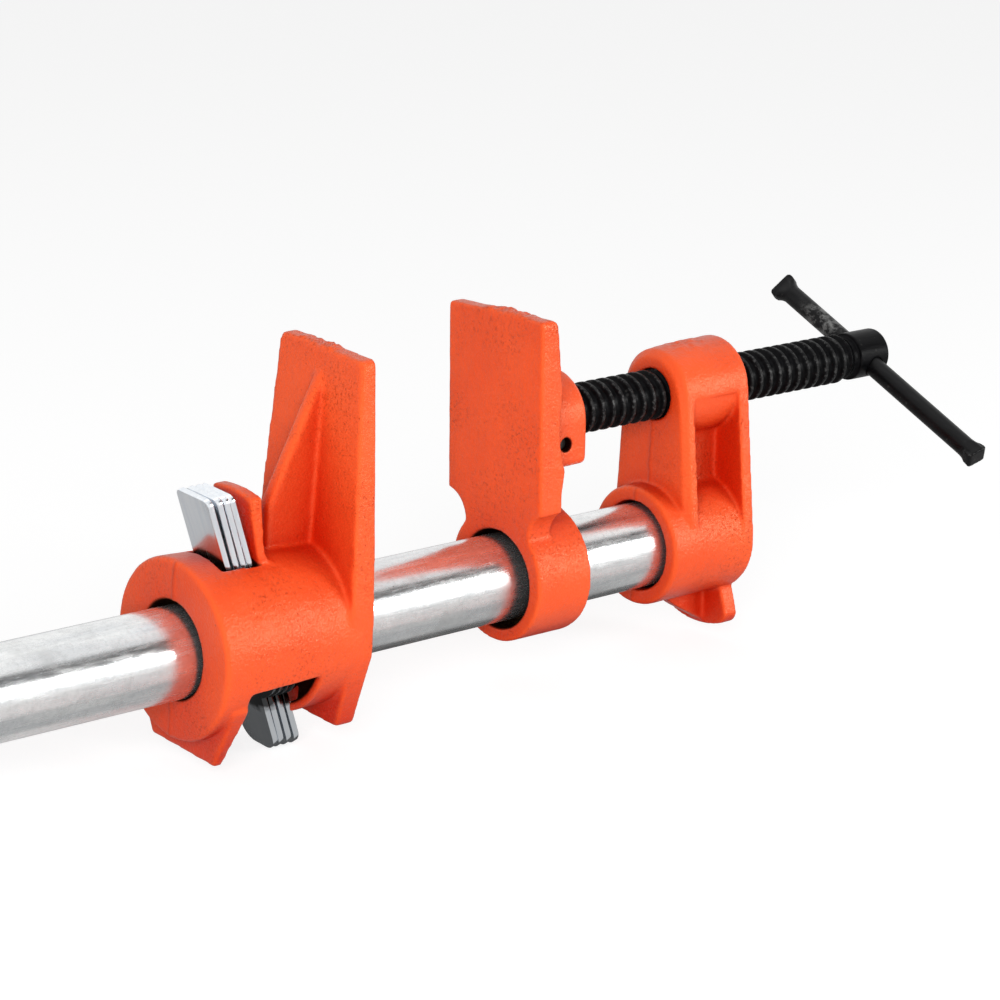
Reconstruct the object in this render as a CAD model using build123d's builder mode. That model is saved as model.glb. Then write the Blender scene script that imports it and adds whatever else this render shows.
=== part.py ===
"""Woodworking pipe clamp on a three-quarter-inch pipe, in millimetres.

The origin is the centre of the pipe's free end.  +X runs along the pipe to the
screw and its handle, +Z rises through the screw's axis.
"""

import os
from math import atan, cos, degrees, pi, radians, sin, sqrt, tan

from build123d import *

# ---------------------------------------------------------------- driving sizes
# pipe
pipe_length = 457.2
pipe_od = 26.67
pipe_wall = 2.87
pipe_edge = 0.5
pipe_r = pipe_od / 2
fit_clearance = 0.05

# screw and its height over the pipe
screw_z = 47.7
screw_r = 7.94
screw_neck_r = 6.6
screw_neck_length = 2.5
screw_hub_r = 7.75
screw_hub_length = 13.5
screw_clearance = 0.06

# jaws
jaw_to_pipe_end = 88.0
jaw_face_x = pipe_length - jaw_to_pipe_end
jaw_opening = 64.8
jaw_top_z = 82.3

# head
head_length = 27.5
head_recess = 4.0
head_top_r = 14.0
head_low_r = 18.3
head_draft = 2.3
head_ring_r = 19.0
head_ring_length = 6.4
head_front_flange = 4.8
head_back_flange = 4.2
head_web = 10.0
head_edge = 2.0

# feet
foot_drop = 30.5

# tail stop, whose casting leans about the pipe
tail_roll = 4.5
tail_lift = 0.9

# clutch plates
plate_tilt = 19.0
plate_thickness = 1.8
plate_hole_r = 14.8
plate_disc_r = 19.5
plate_tab = 7.56
plate_top = 45.5
plate_bottom = -35.0

# clutch spring
wire_r = 0.8
coil_r = 15.3
coil_turns = 1.5
coil_gap = 0.1
biarcs_per_turn = 2

# handle bar
bar_r = 3.25
bar_tilt = 25.0
bar_upper = 40.7
bar_lower = 58.3
bar_swage = 6.0

os.makedirs("parts", exist_ok=True)


def across(x):
    """Plane square to the pipe at station x, with Z up."""
    return Plane.YZ.offset(x)


# ---------------------------------------------------------------- pipe
with BuildPart() as pipe:
    with BuildSketch(across(0)):
        Circle(pipe_r)
        Circle(pipe_r - pipe_wall, mode=Mode.SUBTRACT)
    extrude(amount=pipe_length)
    rims = pipe.edges().filter_by(GeomType.CIRCLE).sort_by(SortBy.RADIUS)
    chamfer(rims[-2:], pipe_edge)

# ---------------------------------------------------------------- head casting
head_back = pipe_length + head_recess
head_front = head_back - head_length
head_ring = head_front - head_ring_length
head_foot_thickness = 5.5
head_foot_half = 13.3
head_foot_neck = 10.0
head_foot_neck_z = -16.0
head_foot_corner = 3.5
head_ring_edge = 0.8
head_gusset = 5.0
head_gusset_length = 22.0
head_gusset_nose = 5.0
head_gusset_nose_z = -22.6
head_gusset_lift = 1.0
head_gusset_sink = 0.5
head_pocket_reach = 30.0
head_pocket_corner = 2.5
head_bore_relief_gap = 1.0
head_bore_relief = 3.0


# the hollow on each side of the web, between hub, screw boss and the two flanges
with BuildPart() as head_pocket:
    with BuildSketch(across(head_front + head_front_flange)):
        with Locations((head_web / 2, screw_z / 2)):
            Rectangle(
                head_pocket_reach, screw_z, align=(Align.MIN, Align.CENTER)
            )
        Circle(head_ring_r, mode=Mode.SUBTRACT)
        with Locations((0, screw_z)):
            Circle(head_top_r, mode=Mode.SUBTRACT)
    extrude(amount=head_length - head_front_flange - head_back_flange)
    fillet(
        head_pocket.edges().filter_by(Axis.X).sort_by(Axis.Y)[:2], head_pocket_corner
    )

with BuildPart() as head_casting:
    with BuildSketch(across(head_front)):
        Circle(head_low_r)
        with Locations((0, screw_z)):
            Circle(head_top_r)
        make_hull()
    extrude(amount=head_length, taper=-head_draft)
    chamfer(head_casting.faces().sort_by(Axis.X)[0].edges(), head_edge)
    with BuildSketch(across(head_ring)):
        Circle(head_ring_r)
    extrude(amount=head_length + head_ring_length - head_back_flange)
    chamfer(head_casting.faces().sort_by(Axis.X)[0].edges(), head_ring_edge)

    foot_edge_z = -sqrt(foot_drop**2 - head_foot_half**2)
    with BuildSketch(across(head_back - head_foot_thickness)) as head_foot:
        with BuildLine():
            Polyline(
                (head_foot_half, foot_edge_z),
                (head_foot_neck, head_foot_neck_z),
                (head_foot_neck, -head_ring_r / 2),
                (-head_foot_neck, -head_ring_r / 2),
                (-head_foot_neck, head_foot_neck_z),
                (-head_foot_half, foot_edge_z),
            )
            ThreePointArc(
                (-head_foot_half, foot_edge_z), (0, -foot_drop), (head_foot_half, foot_edge_z)
            )
        make_face()
        fillet(head_foot.vertices().group_by(Axis.Y)[0], head_foot_corner)
    extrude(amount=head_foot_thickness)

    gusset_start = head_back - head_gusset_length
    gusset_end = head_back - head_foot_thickness + head_gusset_sink
    with BuildSketch(Plane.XZ):
        with BuildLine():
            Polyline(
                (gusset_start, -head_ring_r / 2),
                (gusset_start, -head_ring_r),
                (gusset_start + head_gusset_nose, head_gusset_nose_z),
                (gusset_end, head_gusset_lift - foot_drop),
                (gusset_end, -head_ring_r / 2),
                close=True,
            )
        make_face()
    extrude(amount=head_gusset / 2, both=True)

    add(head_pocket.part, mode=Mode.SUBTRACT)
    add(mirror(head_pocket.part, about=Plane.XZ, mode=Mode.PRIVATE), mode=Mode.SUBTRACT)
    with BuildSketch(across(head_ring)):
        Circle(pipe_r + fit_clearance)
    extrude(amount=head_length + head_ring_length, mode=Mode.SUBTRACT)
    with BuildSketch(across(head_ring)):
        Circle(pipe_r + head_bore_relief_gap)
    extrude(amount=head_bore_relief, mode=Mode.SUBTRACT)
    with BuildSketch(across(head_front)):
        with Locations((0, screw_z)):
            Circle(screw_r + screw_clearance)
    extrude(amount=head_length, mode=Mode.SUBTRACT)

# ---------------------------------------------------------------- sliding jaw
jaw_half = 21.35
jaw_corner = 1.6
jaw_top_thickness = 6.4
jaw_thickness = 11.0
jaw_thickest_z = 36.0
jaw_neck_thickness = 8.8
jaw_neck_z = 29.0
jaw_neck_half = 17.0
jaw_scallop_r = 9.0
jaw_scallop_z = 15.3
jaw_scallop_far_y = 22.3
jaw_scallop_near_y = -25.0
jaw_ring_r = 20.3
jaw_ring_z = 1.0
jaw_ring_y = -1.1
jaw_ring_length = 21.0
jaw_bore_r = 15.3
jaw_back_round = 2.8
jaw_boss_r = 14.0
jaw_boss_floor = 34.3
jaw_boss_length = 25.2
jaw_boss_corner = 2.5
jaw_boss_edge = 1.0

# the screw's nose turns in a blind bore of the boss, held there by a cross pin
nose_wall = 7.0
nose_length = 13.0
nose_r = 6.5
nose_clearance = 0.3
groove_back = 16.5
groove_x = jaw_face_x + groove_back
groove_r = 4.1
pin_r = 2.0
pin_clearance = 0.05
pin_recess = 2.5
pin_drop = groove_r + pin_r + pin_clearance
groove_play = 0.2
groove_width = 2 * (pin_r + groove_play)

with BuildPart() as sliding_jaw:
    with BuildSketch(across(jaw_face_x)) as jaw_outline:
        with Locations((0, jaw_scallop_z)):
            Rectangle(
                2 * jaw_half, jaw_top_z - jaw_scallop_z, align=(Align.CENTER, Align.MIN)
            )
        fillet(jaw_outline.vertices().group_by(Axis.Y)[-1], jaw_corner)
        with Locations((0, jaw_scallop_z)):
            Rectangle(2 * jaw_neck_half, jaw_scallop_r, align=(Align.CENTER, Align.MAX))
    extrude(amount=jaw_thickness)
    with BuildSketch(Plane.XZ) as jaw_profile:
        with BuildLine():
            Polyline(
                (jaw_face_x, 0),
                (jaw_face_x, jaw_top_z),
                (jaw_face_x + jaw_top_thickness, jaw_top_z),
                (jaw_face_x + jaw_thickness, jaw_thickest_z),
                (jaw_face_x + jaw_neck_thickness, jaw_neck_z),
                (jaw_face_x + jaw_neck_thickness, 0),
                close=True,
            )
        make_face()
        fillet(
            jaw_profile.vertices().group_by(Axis.Y)[-1].sort_by(Axis.X)[-1], jaw_back_round
        )
    extrude(amount=2 * jaw_half, both=True, mode=Mode.INTERSECT)
    with BuildSketch(across(jaw_face_x)):
        with Locations((jaw_scallop_far_y, jaw_scallop_z), (jaw_scallop_near_y, jaw_scallop_z)):
            Circle(jaw_scallop_r)
    extrude(amount=jaw_thickness, mode=Mode.SUBTRACT)
    with BuildSketch(across(jaw_face_x)):
        with Locations((jaw_ring_y, jaw_ring_z)):
            Circle(jaw_ring_r)
    extrude(amount=jaw_ring_length)
    with BuildSketch(across(jaw_face_x + nose_wall / 2)) as boss_outline:
        with Locations((0, screw_z)):
            Circle(jaw_boss_r)
            Rectangle(
                2 * jaw_boss_r, screw_z - jaw_boss_floor, align=(Align.CENTER, Align.MAX)
            )
        fillet(boss_outline.vertices().group_by(Axis.Y)[0], jaw_boss_corner)
    extrude(amount=jaw_boss_length - nose_wall / 2)
    boss_back = sliding_jaw.faces().filter_by(Axis.X).sort_by(Axis.X)[-1]
    chamfer(boss_back.edges(), jaw_boss_edge)
    with BuildSketch(across(jaw_face_x)):
        with Locations((jaw_ring_y, 0)):
            Circle(jaw_bore_r)
    extrude(amount=jaw_ring_length, mode=Mode.SUBTRACT)
    with BuildSketch(across(jaw_face_x + nose_wall)):
        with Locations((0, screw_z)):
            Circle(nose_r + nose_clearance)
    extrude(amount=jaw_boss_length, mode=Mode.SUBTRACT)
    with BuildSketch(across(jaw_face_x + nose_wall + nose_length)):
        with Locations((0, screw_z)):
            Circle(screw_r + nose_clearance)
    extrude(amount=jaw_boss_length, mode=Mode.SUBTRACT)
    with BuildSketch(Plane.XZ):
        with Locations((groove_x, screw_z - pin_drop)):
            Circle(pin_r + pin_clearance)
    extrude(amount=2 * jaw_boss_r, both=True, mode=Mode.SUBTRACT)

with BuildPart() as jaw_retaining_pin:
    with BuildSketch(Plane.XZ):
        with Locations((groove_x, screw_z - pin_drop)):
            Circle(pin_r)
    extrude(amount=jaw_boss_r - pin_recess, both=True)

# ---------------------------------------------------------------- main screw
nose_gap = 1.0
shoulder_gap = 0.5
screw_reach = 164.5
screw_start = jaw_face_x + nose_wall + nose_gap
screw_shoulder = jaw_face_x + nose_wall + nose_length + shoulder_gap
screw_hub_end = jaw_face_x + screw_reach
screw_hub_start = screw_hub_end - screw_hub_length
bar_inset = 7.0
bar_x = screw_hub_start + bar_inset
bar_clearance = 0.15
screw_chamfer = 0.8


def screw_band(start, length, radius):
    """One plain round stretch of the screw."""
    with BuildSketch(across(start)) as band:
        with Locations((0, screw_z)):
            Circle(radius)
    extrude(band.sketch, amount=length)


bar_direction = Vector(0, cos(radians(bar_tilt)), sin(radians(bar_tilt)))
bar_normal = Vector(0, -sin(radians(bar_tilt)), cos(radians(bar_tilt)))

with BuildPart() as main_screw:
    screw_band(screw_start, screw_shoulder - screw_start, nose_r)
    chamfer(main_screw.faces().sort_by(Axis.X)[0].edges(), screw_chamfer)
    screw_band(screw_shoulder, screw_hub_start - screw_neck_length - screw_shoulder, screw_r)
    screw_band(screw_hub_start - screw_neck_length, screw_neck_length, screw_neck_r)
    screw_band(screw_hub_start, screw_hub_length, screw_hub_r)
    chamfer(main_screw.faces().sort_by(Axis.X)[-1].edges(), screw_chamfer)
    with BuildSketch(across(groove_x - groove_width / 2)):
        with Locations((0, screw_z)):
            Circle(2 * nose_r)
            Circle(groove_r, mode=Mode.SUBTRACT)
    extrude(amount=groove_width, mode=Mode.SUBTRACT)
    with BuildSketch(Plane(origin=(bar_x, 0, screw_z), x_dir=(1, 0, 0), z_dir=bar_direction)):
        Circle(bar_r + bar_clearance)
    extrude(amount=2 * screw_hub_r, both=True, mode=Mode.SUBTRACT)

# ---------------------------------------------------------------- handle bar
swage_half_width = 4.15
swage_half_thickness = 2.0
swage_root_half = 2.2
swage_corner = 0.8
upper_twist = 48.0
lower_twist = 19.0


def bar_section(distance, twist=0):
    """Plane square to the bar, at a distance up it from the screw's axis."""
    turn = radians(twist)
    origin = Vector(bar_x, 0, screw_z) + bar_direction * distance
    wide = Vector(1, 0, 0) * cos(turn) + bar_normal * sin(turn)
    return Plane(origin=origin, x_dir=wide, z_dir=bar_direction)


def swaged_end(end, twist):
    """Press the bar's tip thinner one way and spread it the other."""
    outward = 1 if end > 0 else -1
    base = bar_section(end - outward * bar_swage, twist)
    along = base.z_dir * outward
    pressed = Plane(origin=base.origin, x_dir=base.y_dir, z_dir=base.y_dir.cross(along))
    spread = Plane(origin=base.origin, x_dir=base.x_dir, z_dir=base.x_dir.cross(along))
    for side in (1, -1):
        with BuildSketch(pressed) as flat:
            with BuildLine():
                Polyline(
                    (side * bar_r, 0),
                    (side * swage_half_thickness, bar_swage),
                    (side * 2 * bar_r, bar_swage),
                    (side * 2 * bar_r, 0),
                    close=True,
                )
            make_face()
        extrude(flat.sketch, amount=2 * bar_r, both=True, mode=Mode.SUBTRACT)
    with BuildSketch(spread) as fan:
        with BuildLine():
            Polyline(
                (-swage_root_half, 0),
                (swage_root_half, 0),
                (swage_half_width, bar_swage),
                (-swage_half_width, bar_swage),
                close=True,
            )
        make_face()
        fillet(fan.vertices().group_by(Axis.Y)[-1], swage_corner)
    extrude(fan.sketch, amount=swage_half_thickness, both=True)


with BuildPart() as handle_bar:
    with BuildSketch(bar_section(-bar_lower)):
        Circle(bar_r)
    extrude(amount=bar_upper + bar_lower)
    swaged_end(bar_upper, upper_twist)
    swaged_end(-bar_lower, lower_twist)

# ---------------------------------------------------------------- tail stop
roll = radians(tail_roll)
tail_y = Vector(0, cos(roll), sin(roll))
tail_z = Vector(0, -sin(roll), cos(roll))
tail_face_x = jaw_face_x - jaw_opening
tail_side = Plane(origin=(0, 0, 0), x_dir=(1, 0, 0), z_dir=-tail_y)


def tail_section(back):
    """Plane across the leaning casting, a distance back from its clamping face."""
    return Plane(origin=(tail_face_x - back, 0, 0), x_dir=tail_y, z_dir=(1, 0, 0))


def back(distance, height):
    """Point in the casting's side view."""
    return (tail_face_x - distance, height)


tail_top = 82.5
tail_top_half = 18.9
tail_half = 23.9
tail_half_top = 10.0
tail_half_low = -3.7
tail_foot_half = 16.3
tail_low = -27.4
tail_corner = 2.0
tail_thickness_top = 5.1
tail_thickness_mid = 7.3
tail_mid = 32.5
tail_thickness = 8.7
tail_thickness_low = 6.2

collar_length = 53.3
collar_r = 26.6
collar_draft = 2.8
collar_chamfer = 0.8
front_wall = 10.1
cavity_r = 22.0
cavity_length = 28.0
window_length = 25.0
window_top = -6.5
slot_from_front = 22.6
slot_back = collar_length - slot_from_front
slot_length = 12.7
slot_half = 9.0
tab_slot_length = 6.5
tab_slot_top = -15.0

ear_half = 9.0
ear_root = 24.5
ear_top = 45.6
ear_lean = 4.3
ear_round = 1.2
ear_edge = 0.8
ear_heel = 3.0
ear_heel_rise = 2.5
ear_heel_round = 4.0
ear_sink = 8.0
ear_thickness_root = 2.2
ear_thickness_top = 4.4

rib_thickness = 4.6
rib_edge = 1.5
rib_top = 75.8
rib_knee = 38.5
rib_reach = 23.3
rib_tip = 0.4
rib_sink = 2.0
rib_knee_round = 4.0

stop_foot_half = 15.1
stop_foot_setback = 4.7
stop_foot_thickness = 3.0
stop_foot_undercut = 2.4
stop_foot_shoulder_half = 24.1
stop_foot_shoulder = 12.1
stop_foot_corner = 1.0

with BuildPart() as tail_ear:
    with BuildSketch(tail_section(slot_back + 2 * ear_lean)):
        with BuildLine():
            Polyline(
                (-ear_half, ear_top - ear_round),
                (-ear_half, ear_root - ear_sink),
                (ear_half, ear_root - ear_sink),
                (ear_half, ear_top - ear_round),
            )
            ThreePointArc(
                (ear_half, ear_top - ear_round), (0, ear_top), (-ear_half, ear_top - ear_round)
            )
        make_face()
    extrude(amount=2 * ear_lean + ear_thickness_root + 2 * ear_heel)
    with BuildSketch(tail_side) as ear_profile:
        with BuildLine():
            Polyline(
                back(slot_back, ear_root - ear_sink),
                back(slot_back, ear_root),
                back(slot_back + ear_lean, ear_top),
                back(slot_back + ear_lean - ear_thickness_top, ear_top),
                back(slot_back - ear_thickness_root, ear_root + ear_heel_rise),
                back(slot_back - ear_thickness_root - ear_heel, ear_root),
                back(slot_back - ear_thickness_root - ear_heel, ear_root - ear_sink),
                close=True,
            )
        make_face()
        fillet(ear_profile.vertices().group_by(Axis.Y)[-1], ear_edge)
        ear_bend = ear_profile.vertices().filter_by_position(
            Axis.Y, ear_root + ear_heel_rise / 2, ear_root + 2 * ear_heel_rise
        )
        fillet(ear_bend, ear_heel_round)
    extrude(amount=2 * ear_half, both=True, mode=Mode.INTERSECT)

with BuildPart() as tail_rib:
    with BuildSketch(tail_side) as rib_profile:
        with BuildLine():
            Polyline(
                back(tail_thickness_top / 2, rib_top),
                back(tail_thickness_top + rib_tip, rib_top),
                back(rib_reach, rib_knee),
                back(rib_reach, cavity_r - rib_sink),
                back(tail_thickness_top / 2, cavity_r - rib_sink),
                close=True,
            )
        make_face()
        fillet(
            rib_profile.vertices().sort_by_distance(back(rib_reach, rib_knee))[0],
            rib_knee_round,
        )
    extrude(amount=rib_thickness / 2, both=True)
    rib_sides = tail_rib.faces().filter_by(Plane(origin=(0, 0, 0), z_dir=tail_y))
    rib_rim = [
        edge
        for edge in rib_sides.edges()
        if edge.center().X < tail_face_x - tail_thickness_top
        and edge.center().Z > cavity_r
    ]
    fillet(rib_rim, rib_edge)

with BuildPart() as tail_stop:
    with BuildSketch(tail_section(0)) as plate_outline:
        with BuildLine():
            Polyline(
                (-tail_top_half, tail_top),
                (-tail_half, tail_half_top),
                (-tail_half, tail_half_low),
                (-tail_foot_half, tail_low),
                (tail_foot_half, tail_low),
                (tail_half, tail_half_low),
                (tail_half, tail_half_top),
                (tail_top_half, tail_top),
                close=True,
            )
        make_face()
        fillet(plate_outline.vertices().group_by(Axis.Y)[-1], tail_corner)
        fillet(plate_outline.vertices().group_by(Axis.Y)[0], tail_corner)
    extrude(amount=-tail_thickness)
    with BuildSketch(tail_side):
        with BuildLine():
            Polyline(
                back(0, tail_top),
                back(tail_thickness_top, tail_top),
                back(tail_thickness_mid, tail_mid),
                back(tail_thickness, 0),
                back(tail_thickness_low, tail_low),
                back(0, tail_low),
                close=True,
            )
        make_face()
    extrude(amount=2 * tail_half, both=True, mode=Mode.INTERSECT)

    with BuildSketch(tail_section(collar_length)):
        with Locations((0, tail_lift)):
            Circle(collar_r)
    extrude(amount=collar_length - tail_thickness / 2, taper=collar_draft)
    chamfer(tail_stop.faces().sort_by(Axis.X)[0].edges(), collar_chamfer)

    # front foot, its flanks tangent to the collar
    foot_front = collar_length - stop_foot_setback
    foot_rear = foot_front - stop_foot_thickness
    foot_rear_top = foot_rear - stop_foot_undercut
    with BuildSketch(tail_section(foot_front)) as foot_outline:
        with BuildLine():
            Polyline(
                (-stop_foot_half, -foot_drop),
                (stop_foot_half, -foot_drop),
                (stop_foot_shoulder_half, tail_lift - stop_foot_shoulder),
                (-stop_foot_shoulder_half, tail_lift - stop_foot_shoulder),
                close=True,
            )
        make_face()
        fillet(foot_outline.vertices().group_by(Axis.Y)[0], stop_foot_corner)
    extrude(amount=foot_front - foot_rear_top)
    with BuildSketch(tail_side):
        with BuildLine():
            Polyline(
                back(foot_rear_top, tail_lift - pipe_r),
                back(foot_rear, -foot_drop),
                back(foot_rear_top, -foot_drop),
                close=True,
            )
        make_face()
    extrude(amount=collar_r, both=True, mode=Mode.SUBTRACT)

    # hollow for the clutch plates, open above, below and on both flanks
    with BuildSketch(tail_section(slot_back + slot_length)):
        with Locations((0, pipe_r)):
            Rectangle(2 * slot_half, collar_r, align=(Align.CENTER, Align.MIN))
    extrude(amount=slot_length, mode=Mode.SUBTRACT)
    add(tail_ear.part)
    add(tail_rib.part)
    with BuildSketch(tail_section(collar_length - front_wall)):
        with Locations((0, tail_lift)):
            Circle(cavity_r)
    extrude(amount=cavity_length, mode=Mode.SUBTRACT)
    with BuildSketch(tail_section(collar_length - front_wall)):
        with Locations((0, window_top)):
            Rectangle(4 * collar_r, 2 * collar_r, align=(Align.CENTER, Align.MAX))
    extrude(amount=window_length, mode=Mode.SUBTRACT)
    with BuildSketch(tail_section(collar_length - front_wall - window_length)):
        with Locations((0, tab_slot_top)):
            Rectangle(2 * slot_half, collar_r, align=(Align.CENTER, Align.MAX))
    extrude(amount=tab_slot_length, mode=Mode.SUBTRACT)
    with BuildSketch(tail_section(collar_length)):
        with Locations((0, tail_lift)):
            Circle(pipe_r + tail_lift + fit_clearance)
    extrude(amount=collar_length, mode=Mode.SUBTRACT)

# ---------------------------------------------------------------- clutch plates
plate_stand = 2.0
plate_back = slot_back + plate_stand
plate_corner = 2.0
plate_tip_round = 5.0
# clear space between neighbouring plates at their lower and upper ends
plate_fan = ((0.05, 1.2), (0.85, 0.4), (0.8, 0.05))


def clutch_plate(axis_x, tilt):
    """A tabbed ring whose front face crosses the pipe's axis at axis_x."""
    lean = radians(tilt)
    up = tail_z * cos(lean) - Vector(1, 0, 0) * sin(lean)
    normal = Vector(1, 0, 0) * cos(lean) + tail_z * sin(lean)
    top = plate_top / cos(lean)
    bottom = plate_bottom / cos(lean)
    with BuildPart() as plate:
        front = Plane(origin=(axis_x, 0, 0), x_dir=up.cross(normal), z_dir=normal)
        with BuildSketch(front) as face:
            Circle(plate_disc_r)
            with Locations((0, top)):
                Rectangle(2 * plate_tab, top - bottom, align=(Align.CENTER, Align.MAX))
            fillet(face.vertices().group_by(Axis.Y)[-1], plate_corner)
            fillet(face.vertices().group_by(Axis.Y)[0], plate_tip_round)
            Circle(plate_hole_r, mode=Mode.SUBTRACT)
        extrude(amount=plate_thickness)
    return plate.part


plate_slope = tan(radians(plate_tilt))
plate_x = tail_face_x - plate_back
plate_span = plate_top - plate_bottom
clutch_plates = []
for step in range(len(plate_fan) + 1):
    tilt = degrees(atan(plate_slope))
    clutch_plates.append(clutch_plate(plate_x, tilt))
    if step < len(plate_fan):
        low_gap, high_gap = plate_fan[step]
        slant = 1 / cos(radians(tilt))
        low_x = plate_x - plate_bottom * plate_slope + (plate_thickness + low_gap) * slant
        high_x = plate_x - plate_top * plate_slope + (plate_thickness + high_gap) * slant
        plate_slope = (low_x - high_x) / plate_span
        plate_x = low_x + plate_bottom * plate_slope

# ---------------------------------------------------------------- clutch spring
coil_front = tail_face_x - collar_length + front_wall + wire_r + coil_gap


def coil_point(turn):
    """Centre of the wire, from the front wall round to the leaning first plate."""
    angle = 2 * pi * turn
    side = coil_r * sin(angle)
    height = coil_r * cos(angle)
    lean = radians(plate_tilt)
    stand = (wire_r + coil_gap) / cos(lean)
    plate_face = tail_face_x - plate_back - height * tan(lean) - stand
    x = coil_front + (plate_face - coil_front) * turn / coil_turns
    return Vector(x, 0, 0) + tail_y * side + tail_z * height


def coil_tangent(turn):
    """Direction of the wire, by a small central difference."""
    step = 1e-4
    return (coil_point(turn + step) - coil_point(turn - step)).normalized()


def biarc_joint(start, start_way, end, end_way):
    """Point and direction where two tangent arcs between two ends meet."""
    chord = end - start
    ways = start_way + end_way
    spread = 2 * (1 - start_way.dot(end_way))
    reach = (-chord.dot(ways) + sqrt(chord.dot(ways) ** 2 + spread * chord.dot(chord))) / spread
    first = start + start_way * reach
    second = end - end_way * reach
    return (first + second) * 0.5, (second - first).normalized()


def least_coil_gap(samples_per_turn):
    """Smallest clear space between the wire and itself, on sampled points."""
    count = int(coil_turns * samples_per_turn) + 1
    points = [coil_point(i / samples_per_turn) for i in range(count)]
    apart = samples_per_turn // 2
    return min(
        (points[j] - points[i]).length - 2 * wire_r
        for i in range(count)
        for j in range(i + apart, count)
    )


with BuildPart() as clutch_spring:
    with BuildLine() as coil_path:
        for i in range(int(coil_turns * biarcs_per_turn)):
            start_turn = i / biarcs_per_turn
            end_turn = (i + 1) / biarcs_per_turn
            start = coil_point(start_turn)
            start_way = coil_tangent(start_turn)
            end = coil_point(end_turn)
            middle, middle_way = biarc_joint(start, start_way, end, coil_tangent(end_turn))
            TangentArc(start, middle, tangent=start_way)
            TangentArc(middle, end, tangent=middle_way)
    with BuildSketch(Plane(origin=coil_point(0), z_dir=coil_tangent(0))):
        Circle(wire_r)
    sweep(path=coil_path.wire())
print("clutch_spring least gap to itself, mm:", round(least_coil_gap(48), 2))

# ---------------------------------------------------------------- write the files
pieces = {
    "pipe": pipe.part,
    "head_casting": head_casting.part,
    "sliding_jaw": sliding_jaw.part,
    "jaw_retaining_pin": jaw_retaining_pin.part,
    "main_screw": main_screw.part,
    "handle_bar": handle_bar.part,
    "tail_stop": tail_stop.part,
    "clutch_spring": clutch_spring.part,
}
for number, plate in enumerate(clutch_plates, start=1):
    pieces[f"clutch_plate_{number}"] = plate

for name, piece in pieces.items():
    piece.label = name
    export_step(piece, f"parts/{name}.step")
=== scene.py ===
"""Looks of a woodworking pipe clamp: enamelled castings, galvanised pipe, black screw."""

import math

import bmesh
import bpy
import numpy as np
from mathutils import Matrix, Vector, noise


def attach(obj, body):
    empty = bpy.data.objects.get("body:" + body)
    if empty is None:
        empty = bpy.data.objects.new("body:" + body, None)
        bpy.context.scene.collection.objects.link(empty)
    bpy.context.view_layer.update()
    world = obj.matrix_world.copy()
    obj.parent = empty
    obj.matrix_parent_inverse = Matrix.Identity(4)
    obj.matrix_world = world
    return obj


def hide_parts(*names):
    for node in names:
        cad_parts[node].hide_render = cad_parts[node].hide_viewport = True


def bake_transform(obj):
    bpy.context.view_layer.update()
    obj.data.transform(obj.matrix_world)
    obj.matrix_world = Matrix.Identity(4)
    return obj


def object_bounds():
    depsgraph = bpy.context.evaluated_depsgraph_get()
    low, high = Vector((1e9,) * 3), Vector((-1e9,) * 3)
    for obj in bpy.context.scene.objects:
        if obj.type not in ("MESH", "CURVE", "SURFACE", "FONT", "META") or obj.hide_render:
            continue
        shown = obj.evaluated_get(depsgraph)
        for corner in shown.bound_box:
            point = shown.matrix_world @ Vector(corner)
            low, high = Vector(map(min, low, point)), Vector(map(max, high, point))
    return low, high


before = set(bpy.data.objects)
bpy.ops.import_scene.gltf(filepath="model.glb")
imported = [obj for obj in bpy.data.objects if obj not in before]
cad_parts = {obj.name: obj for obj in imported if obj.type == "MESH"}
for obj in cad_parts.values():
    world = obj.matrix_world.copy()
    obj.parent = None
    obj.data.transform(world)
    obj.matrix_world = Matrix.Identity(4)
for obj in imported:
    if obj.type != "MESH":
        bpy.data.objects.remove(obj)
cad_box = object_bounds()
MM = 0.001

# ---------------------------------------------------------------- sizes, in millimetres
PIPE_LENGTH = 457.2
PIPE_R = 13.335
PIPE_BORE_R = 10.465
PIPE_EDGE = 0.5

SCREW_Z = 47.7
SHOULDER_X = 389.7
NOSE_R = 6.5
THREAD_END = 517.7
THREAD_LEAD = 4.233
THREAD_CREST_R = 7.88
THREAD_ROOT_R = 6.55
NECK_R = 6.6
BAR_X = 527.2
BAR_R = 3.25
BAR_TURN = 25.0
BAR_UP = 40.7
BAR_DOWN = 58.3
BAR_UP_TWIST = 48.0
BAR_DOWN_TWIST = 19.0
SWAGE = 6.0
SWAGE_HALF_WIDTH = 4.15
SWAGE_HALF_THICKNESS = 2.0
SWAGE_SLOPE = 0.325
SWAGE_THINNING = 0.208

TAIL_ROLL = 4.5
TAIL_FACE_X = 304.4
COLLAR_FRONT_X = 251.1
COLLAR_WALL = 10.1
HOLLOW_LENGTH = 28.0
HOLLOW_SHADE_R = 22.9
# radii of the painted shade in the tail stop's hollow and slot
SLOT_SHADE_R = 25.8
SLOT_FROM_FACE = 30.2
SLOT_HALF_WIDTH = 9.5
TAIL_BORE_SIDE = -0.1
TAIL_BORE_HEIGHT = 0.9
TAIL_TOP_Z = 82.2
PLATE_TILT = 19.0
PLATE_FACE_X = 271.7
WIRE_R = 0.8
COIL_R = 15.3
COIL_TURNS = 1.5
COIL_FRONT_X = 262.1

HEAD_FRONT_X = 433.7
HEAD_TOP_Z = 61.7
JAW_FACE_X = 369.2
JAW_TOP_Z = 82.3
JAW_BORE_SIDE = -1.1
JAW_BORE_R = 15.8
BOSS_HALF_WIDTH = 14.2
PIN_X = 385.7
PIN_Z = 41.55


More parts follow.
